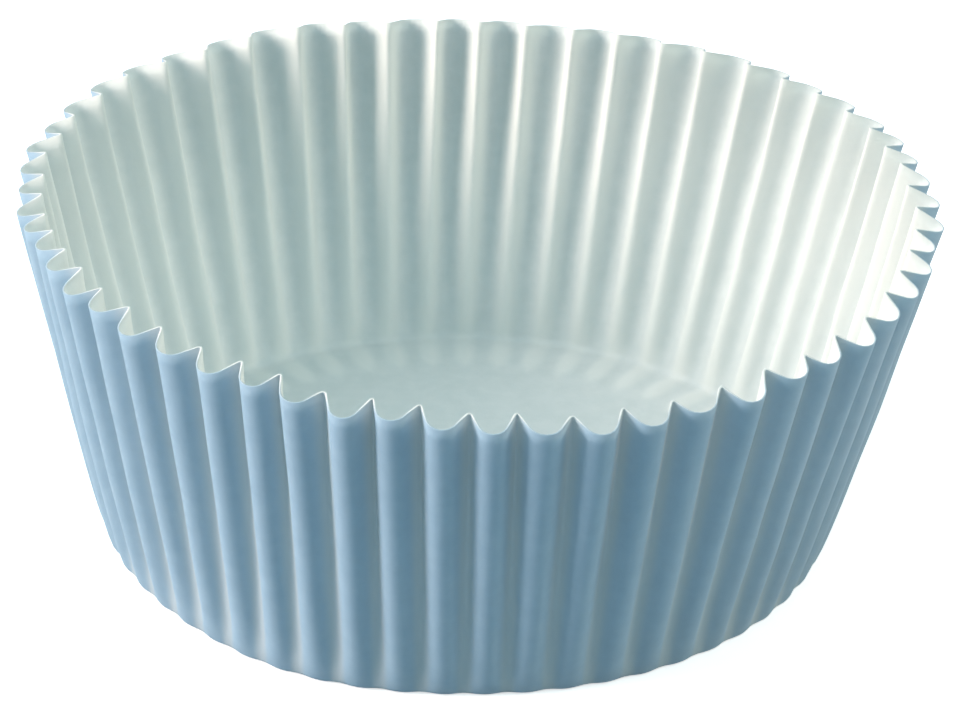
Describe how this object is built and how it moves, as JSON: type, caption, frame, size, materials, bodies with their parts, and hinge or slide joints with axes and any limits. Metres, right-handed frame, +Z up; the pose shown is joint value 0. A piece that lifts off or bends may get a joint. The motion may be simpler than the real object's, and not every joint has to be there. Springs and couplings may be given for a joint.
{
  "type": "cupcake liner",
  "caption": "Round pleated paper baking cup with a flat floor, a leaning wall of rounded pleats and an open scalloped mouth.",
  "frame": {"origin": "centre of the flat floor's underside, where the cup stands", "axes": "+Z up out of the mouth along the cup's axis, +X through the crest of one pleat"},
  "size_m": [0.063, 0.063, 0.0241],
  "materials": {
    "paper": "matt greaseproof paper"
  },
  "bodies": {
    "root": {"cupcake_liner": "paper"}
  },
  "joints": []
}
